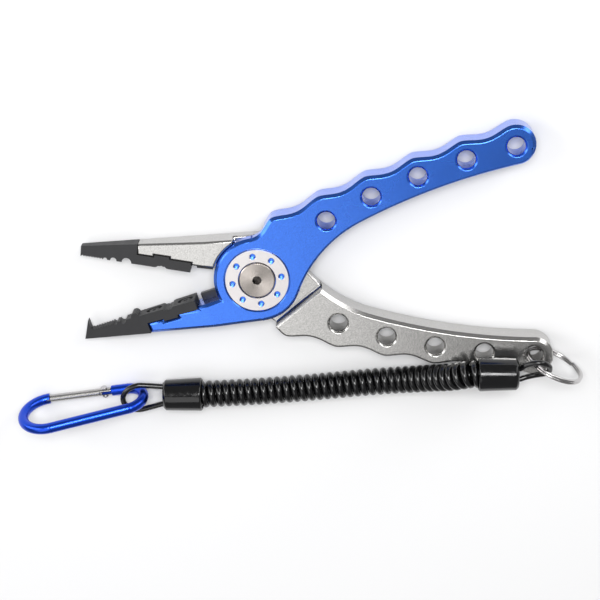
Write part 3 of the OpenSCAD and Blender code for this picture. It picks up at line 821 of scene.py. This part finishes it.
@dataclass
class Lanyard:
    """The curly cord, its two boots and the two loops of thin cord.

    Attributes:
        right: The boot by the split ring.
        left: The boot by the clip.
        wire: Diameter of the curly cord, in millimetres.
        outer_radius: Outer radius of its coil.
        turns: Turns in the coil.
        held: How far the coil's centre line reaches into each boot.
        axis_steps: Points for each span of that centre line.
        per_turn: Rings of points in each turn.
        coil_sides: Points in each of them.
        loop_radius: Radius of the loops' cord.
        loop_steps: Points for each span of a loop's route.
        loop_rings: Rings of points along a loop.
        loop_sides: Points in each of them.
    """

    right: Boot = field(default_factory=lambda: Boot((82.2, -45.3, 21.1), -6.0, 2.1))
    left: Boot = field(default_factory=lambda: Boot((-28.8, -47.8, 6.8), 175.5, 3.7))
    wire: float = 2.62
    outer_radius: float = 5.5
    turns: float = 39.5
    held: float = 3.0
    axis_steps: int = 12
    per_turn: int = 30
    coil_sides: int = 14
    loop_radius: float = 1.1
    loop_steps: int = 16
    loop_rings: int = 150
    loop_sides: int = 16

    def coil_axis(self) -> np.ndarray:
        """The curly cord's centre line, from inside the left boot to inside the right."""
        middle = [[-24, -48.2, 6.5], [-17, -48.8, 5.9], [-8, -49.3, 5.75], [6, -49.7, 5.75],
                  [20, -49.9, 5.75], [34, -50, 5.75], [44, -50.1, 5.9], [52, -50, 6.9],
                  [59, -49.4, 9.2], [65, -48.5, 12.2], [70, -47.5, 15.6], [74.5, -46.3, 18.6],
                  [78.5, -45.3, 20.5]]
        route = np.vstack([self.left.mouth, middle, self.right.mouth])
        return np.vstack([self.left.point(self.held), spline(route, self.axis_steps),
                          self.right.point(self.held)])

    def ring_route(self) -> np.ndarray:
        """The right loop's route, out of the boot, round the split ring and back."""
        b = self.right
        return np.vstack([
            b.point(6, 1), b.point(11, 1), b.point(b.length, 1), [100.7, -43.3, 21.9],
            [103.2, -42.4, 22.7], [105.7, -42.2, 23.3], [108, -42.9, 22.9], [109.9, -45.1, 20.9],
            [109.9, -47.6, 18.9], [108.2, -48.7, 18.6], [105.8, -48.6, 19.3], [103, -48.4, 20.4],
            [100.4, -48.5, 21], b.point(b.length, -1), b.point(11, -1), b.point(6, -1)])

    def clip_route(self) -> np.ndarray:
        """The left loop's route, out of the boot, round the clip and back."""
        b = self.left
        return np.vstack([
            b.point(6, -1), b.point(11, -1), b.point(b.length, -1), [-50, -41.9, 6.9],
            [-54.5, -41.2, 7.3], [-58.4, -42.4, 7.4], [-60.8, -45.2, 7.3], [-60.9, -48.2, 7.1],
            [-58.6, -50.8, 6.9], [-55, -51.8, 6.8], [-50, -51.1, 6.8], b.point(b.length, 1),
            b.point(11, 1), b.point(6, 1)])

    def helix(self) -> np.ndarray:
        """The curly cord's own line.

        It is the centre line + r (cos a n + sin a b), where a grows evenly along it, r is the
        outer radius less half the wire, and n and b are the directions across the centre line.

        Returns:
            Points along the line, from the right boot to the left.
        """
        count = int(self.turns * self.per_turn)
        axis = evenly(self.coil_axis(), count)[::-1]
        n, b = side_frames(axis, np.array([0.0, 0.0, 1.0]))
        a = 2 * math.pi * self.turns * np.linspace(0.0, 1.0, count)
        r = self.outer_radius - self.wire / 2
        return axis + r * (np.cos(a)[:, None] * n + np.sin(a)[:, None] * b)

    def build_coil(self, finishes: Finishes) -> bpy.types.Object:
        """The curly cord as a tube along its helix.

        Args:
            finishes: The finishes it is dressed from.

        Returns:
            The object.
        """
        line = self.helix()
        axis = evenly(self.coil_axis(), len(line))[::-1]
        along = directions(line)
        outward = line - axis
        outward -= along * np.sum(outward * along, axis=1, keepdims=True)
        outward /= np.linalg.norm(outward, axis=1, keepdims=True)
        radius = np.full(len(line), self.wire / 2)
        obj = tube("curly_cord", line, radius, self.coil_sides, outward,
                   np.cross(along, outward))
        finishes.dress(obj, Slot.CORD)
        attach(obj, Body.SILVER.value)
        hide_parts("lanyard_coil")
        self.declare(obj, line)
        return obj

    def build_loop(self, name: str, node: str, route: np.ndarray,
                   finishes: Finishes) -> bpy.types.Object:
        """One loop of thin cord as a tube along its route.

        Args:
            name: The piece's name.
            node: The CAD node it replaces.
            route: Its route's points.
            finishes: The finishes it is dressed from.

        Returns:
            The object.
        """
        line = evenly(spline(route, self.loop_steps), self.loop_rings)
        first, second = side_frames(line, np.array([0.0, 0.0, 1.0]))
        radius = np.full(len(line), self.loop_radius)
        obj = tube(name, line, radius, self.loop_sides, first, second)
        finishes.dress(obj, Slot.CORD)
        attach(obj, Body.SILVER.value)
        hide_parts(node)
        self.declare(obj, line)
        return obj

    def declare(self, obj: bpy.types.Object, line: np.ndarray) -> None:
        """Logs the length of a cord's own line.

        Args:
            obj: The cord.
            line: Its own line, in millimetres.
        """
        LOG.info("%s: %.0f mm of cord", obj.name, curve_length(line))

    def build(self, finishes: Finishes) -> None:
        """Builds every piece of the lanyard."""
        self.build_coil(finishes)
        self.build_loop("ring_loop_cord", "ring_loop", self.ring_route(), finishes)
        self.build_loop("clip_loop_cord", "clip_loop", self.clip_route(), finishes)
        for node in ("right_boot", "left_boot"):
            MachinedPart(node, Body.SILVER, Slot.BLACK_PLASTIC, 0.3, 3).build(finishes)


# ---------------------------------------------------------------- rings


@dataclass
class SplitRing:
    """A ring of two touching turns of flat wire, wound from one length.

    Attributes:
        radius: Radius to the middle of the wire.
        width: The wire's width across the ring.
        depth: Thickness of one turn along the ring's axis.
        slope: Half the length of the crossing, as a share of a turn.
        start: Where the wire starts, as a share of a turn.
        corner: Power that shapes the section: 1 is an ellipse, near 0 a rectangle.
        rings: Rings of points along the wire.
        sides: Points in each of them.
    """

    radius: float = 11.55
    width: float = 1.3
    depth: float = 0.98
    slope: float = 0.09
    start: float = 0.62
    corner: float = 0.5
    rings: int = 420
    sides: int = 16

    def place(self) -> tuple:
        """The ring's centre and axis, from its joint."""
        joint = next(j for j in frame["record"]["behaviour"]["joints"] if j["name"] == "ring_spin")
        return np.array(joint["pos_m"]) / MM, np.array(joint["axis"])

    def build(self, finishes: Finishes) -> bpy.types.Object:
        """A rounded square section carried round two turns.

        The offset along the axis is constant over a turn and slides from one turn's place to
        the other's over the crossing, by 3u^2 - 2u^3.

        Args:
            finishes: The finishes it is dressed from.

        Returns:
            The object.
        """
        centre, axis = self.place()
        axis = axis / np.linalg.norm(axis)
        h = np.cross(np.array([0.0, 0.0, 1.0]), axis)
        h /= np.linalg.norm(h)
        w = np.cross(axis, h)
        turns = np.linspace(0.0, 2.0, self.rings)
        u = np.clip((turns - (1.0 - self.slope)) / (2 * self.slope), 0.0, 1.0)
        lift = (u * u * (3 - 2 * u) - 0.5) * self.depth
        a = 2 * math.pi * (turns + self.start)
        out = np.cos(a)[:, None] * h + np.sin(a)[:, None] * w
        middle = centre + self.radius * out + lift[:, None] * axis
        k = np.linspace(0.0, 2 * math.pi, self.sides, endpoint=False)
        sx = np.sign(np.cos(k)) * np.abs(np.cos(k)) ** self.corner * self.width / 2
        sz = np.sign(np.sin(k)) * np.abs(np.sin(k)) ** self.corner * self.depth / 2
        grid = middle[:, None, :] + sx[None, :, None] * out[:, None, :] + sz[None, :, None] * axis
        first = list(range(self.sides))
        caps = (first, [(self.rings - 1) * self.sides + j for j in first][::-1])
        quads = grid_quads(self.rings, self.sides)[:, ::-1]
        obj = mesh_object("split_ring_wound", grid.reshape(-1, 3), quads, caps)
        fix_normals(obj)
        finishes.dress(obj, Slot.NICKEL)
        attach(obj, Body.RING.value)
        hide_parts("split_ring")
        return obj


def fix_normals(obj: bpy.types.Object) -> None:
    """Turns a closed mesh's faces outwards."""
    bm = bmesh.new()
    bm.from_mesh(obj.data)
    bmesh.ops.recalc_face_normals(bm, faces=bm.faces)
    bm.to_mesh(obj.data)
    bm.free()


# ---------------------------------------------------------------- pliers


@dataclass
class Pliers:
    """The two levers with what is fixed to them."""

    def build(self, finishes: Finishes) -> None:
        """Builds the levers, jaws, cutters and pivot."""
        Lever("blue_lever", Body.BLUE, Slot.BLUE, 1.2, rounding=0.24,
              inner_share=0.5).build(finishes)
        Lever("silver_lever", Body.SILVER, Slot.SILVER, 1.3, rounding=0.24, outer_share=0.5,
              mirrored=True).build(finishes)
        small = [
            ("upper_jaw_insert", Body.SILVER, Slot.BLACK_STEEL, 0.05),
            ("lower_jaw_insert", Body.BLUE, Slot.BLACK_STEEL, 0.05),
            ("upper_insert_screws", Body.SILVER, Slot.BLACK_STEEL, 0.12),
            ("lower_insert_screws", Body.BLUE, Slot.BLACK_STEEL, 0.12),
            ("upper_cutter", Body.SILVER, Slot.CUTTER, 0.12),
            ("lower_cutter", Body.BLUE, Slot.CUTTER, 0.12),
            ("front_pivot_ring", Body.BLUE, Slot.TURNED, 0.12),
            ("rear_pivot_cap", Body.SILVER, Slot.TURNED, 0.25),
            ("pivot_bolt", Body.SILVER, Slot.STAINLESS, 0.1),
            ("pivot_nut", Body.SILVER, Slot.STAINLESS, 0.2),
        ]
        for node, body, slot, chamfer in small:
            MachinedPart(node, body, slot, chamfer).build(finishes)
        inner = {
            "upper_cutter_screw": Slot.BLACK_STEEL, "lower_cutter_screw": Slot.BLACK_STEEL,
            "pivot_bush": Slot.BRONZE, "thrust_washer": Slot.WHITE, "stop_pin": Slot.SPRING,
            "return_spring": Slot.SPRING, "right_ferrule": Slot.BRASS,
            "left_ferrule": Slot.BRASS, "gate_spring": Slot.SPRING,
        }
        for node, slot in inner.items():
            obj = frame["nodes"][node]
            obj.data.materials.clear()
            obj.data.materials.append(finishes.get(slot))


@dataclass
class Carabiner:
    """The clip's body, gate and rivet."""

    def build(self, finishes: Finishes) -> None:
        """Builds the clip's three pieces."""
        MachinedPart("carabiner_body", Body.SILVER, Slot.CLIP_BLUE, 0.2, 2).build(finishes)
        MachinedPart("carabiner_gate", Body.GATE, Slot.SILVER, 0.12, 2).build(finishes)
        MachinedPart("gate_rivet", Body.SILVER, Slot.NICKEL, 0.15, 3).build(finishes)


# ---------------------------------------------------------------- studio


@dataclass
class Studio:
    """A pale table, soft light and the camera."""

    def camera(self) -> None:
        """A long lens high above the table, leaning in from behind the blue handle."""
        data = bpy.data.cameras.new("camera")
        data.lens = 105.6
        data.sensor_width = 36.0
        obj = bpy.data.objects.new("camera", data)
        bpy.context.scene.collection.objects.link(obj)
        right = Vector((0.99216, -0.11919, -0.03765)).normalized()
        back = Vector((0.07361, 0.31373, 0.94666)).normalized()
        up = back.cross(right)
        place = Matrix((right, up, back)).transposed().to_4x4()
        place.translation = Vector((0.0665655, 0.206536, 0.6666175))
        obj.matrix_world = place
        bpy.context.scene.camera = obj

    def floor(self) -> None:
        """A plain pale table top, larger than any view takes in."""
        data = bpy.data.meshes.new("table_top")
        size, level = 6.0, -0.0004
        corners = [(x * size, y * size, level) for x, y in ((-1, -1), (1, -1), (1, 1), (-1, 1))]
        data.from_pydata(corners, [], [(0, 1, 2, 3)])
        obj = bpy.data.objects.new("table_top", data)
        bpy.context.scene.collection.objects.link(obj)
        graph = NodeGraph("pale_table")
        graph.set(Base_Color=(0.8, 0.8, 0.805, 1.0), Roughness=0.7, Specular_IOR_Level=0.2)
        data.materials.append(graph.material)

    def lamp(self, name: str, place: tuple, aim: tuple, size: tuple, power: float) -> None:
        """One rectangular soft light.

        Args:
            name: Its name.
            place: Where it hangs.
            aim: The point it faces.
            size: Its two sides, in metres.
            power: In watts.
        """
        data = bpy.data.lights.new(name, "AREA")
        data.shape = "RECTANGLE"
        data.size, data.size_y = size
        data.energy = power
        obj = bpy.data.objects.new(name, data)
        bpy.context.scene.collection.objects.link(obj)
        obj.location = place
        obj.rotation_euler = (Vector(aim) - Vector(place)).to_track_quat("-Z", "Y").to_euler()

    def light(self) -> None:
        """A dim even room, a key by the camera, a ceiling panel and two side panels."""
        world = bpy.data.worlds.new("room")
        bpy.context.scene.world = world
        world.use_nodes = True
        world.node_tree.nodes["Background"].inputs["Color"].default_value = (1.0, 1.0, 1.0, 1.0)
        world.node_tree.nodes["Background"].inputs["Strength"].default_value = 0.26
        self.lamp("key", (0.085, 0.36, 1.05), (0.02, 0.0, 0.0), (0.45, 0.35), 8.5)
        self.lamp("ceiling", (-0.53, -0.36, 1.2), (-0.1, -0.05, 0.0), (0.95, 0.95), 3.6)
        self.lamp("left", (-0.78, 0.37, 0.52), (0.0, 0.0, 0.0), (0.38, 0.95), 4.0)
        self.lamp("right", (0.74, 0.52, 0.45), (0.0, 0.0, 0.0), (0.38, 0.85), 3.4)

    def build(self) -> None:
        """Sets up the whole studio."""
        self.camera()
        self.floor()
        self.light()
        bpy.context.scene.view_settings.view_transform = "Standard"


def main() -> None:
    """Builds the studio, then each sub-assembly in turn."""
    logging.basicConfig(level=logging.INFO, format="%(message)s")
    finishes = Finishes()
    Studio().build()
    Lanyard().build(finishes)
    SplitRing().build(finishes)
    Pliers().build(finishes)
    Carabiner().build(finishes)


if __name__ == "__main__":
    main()
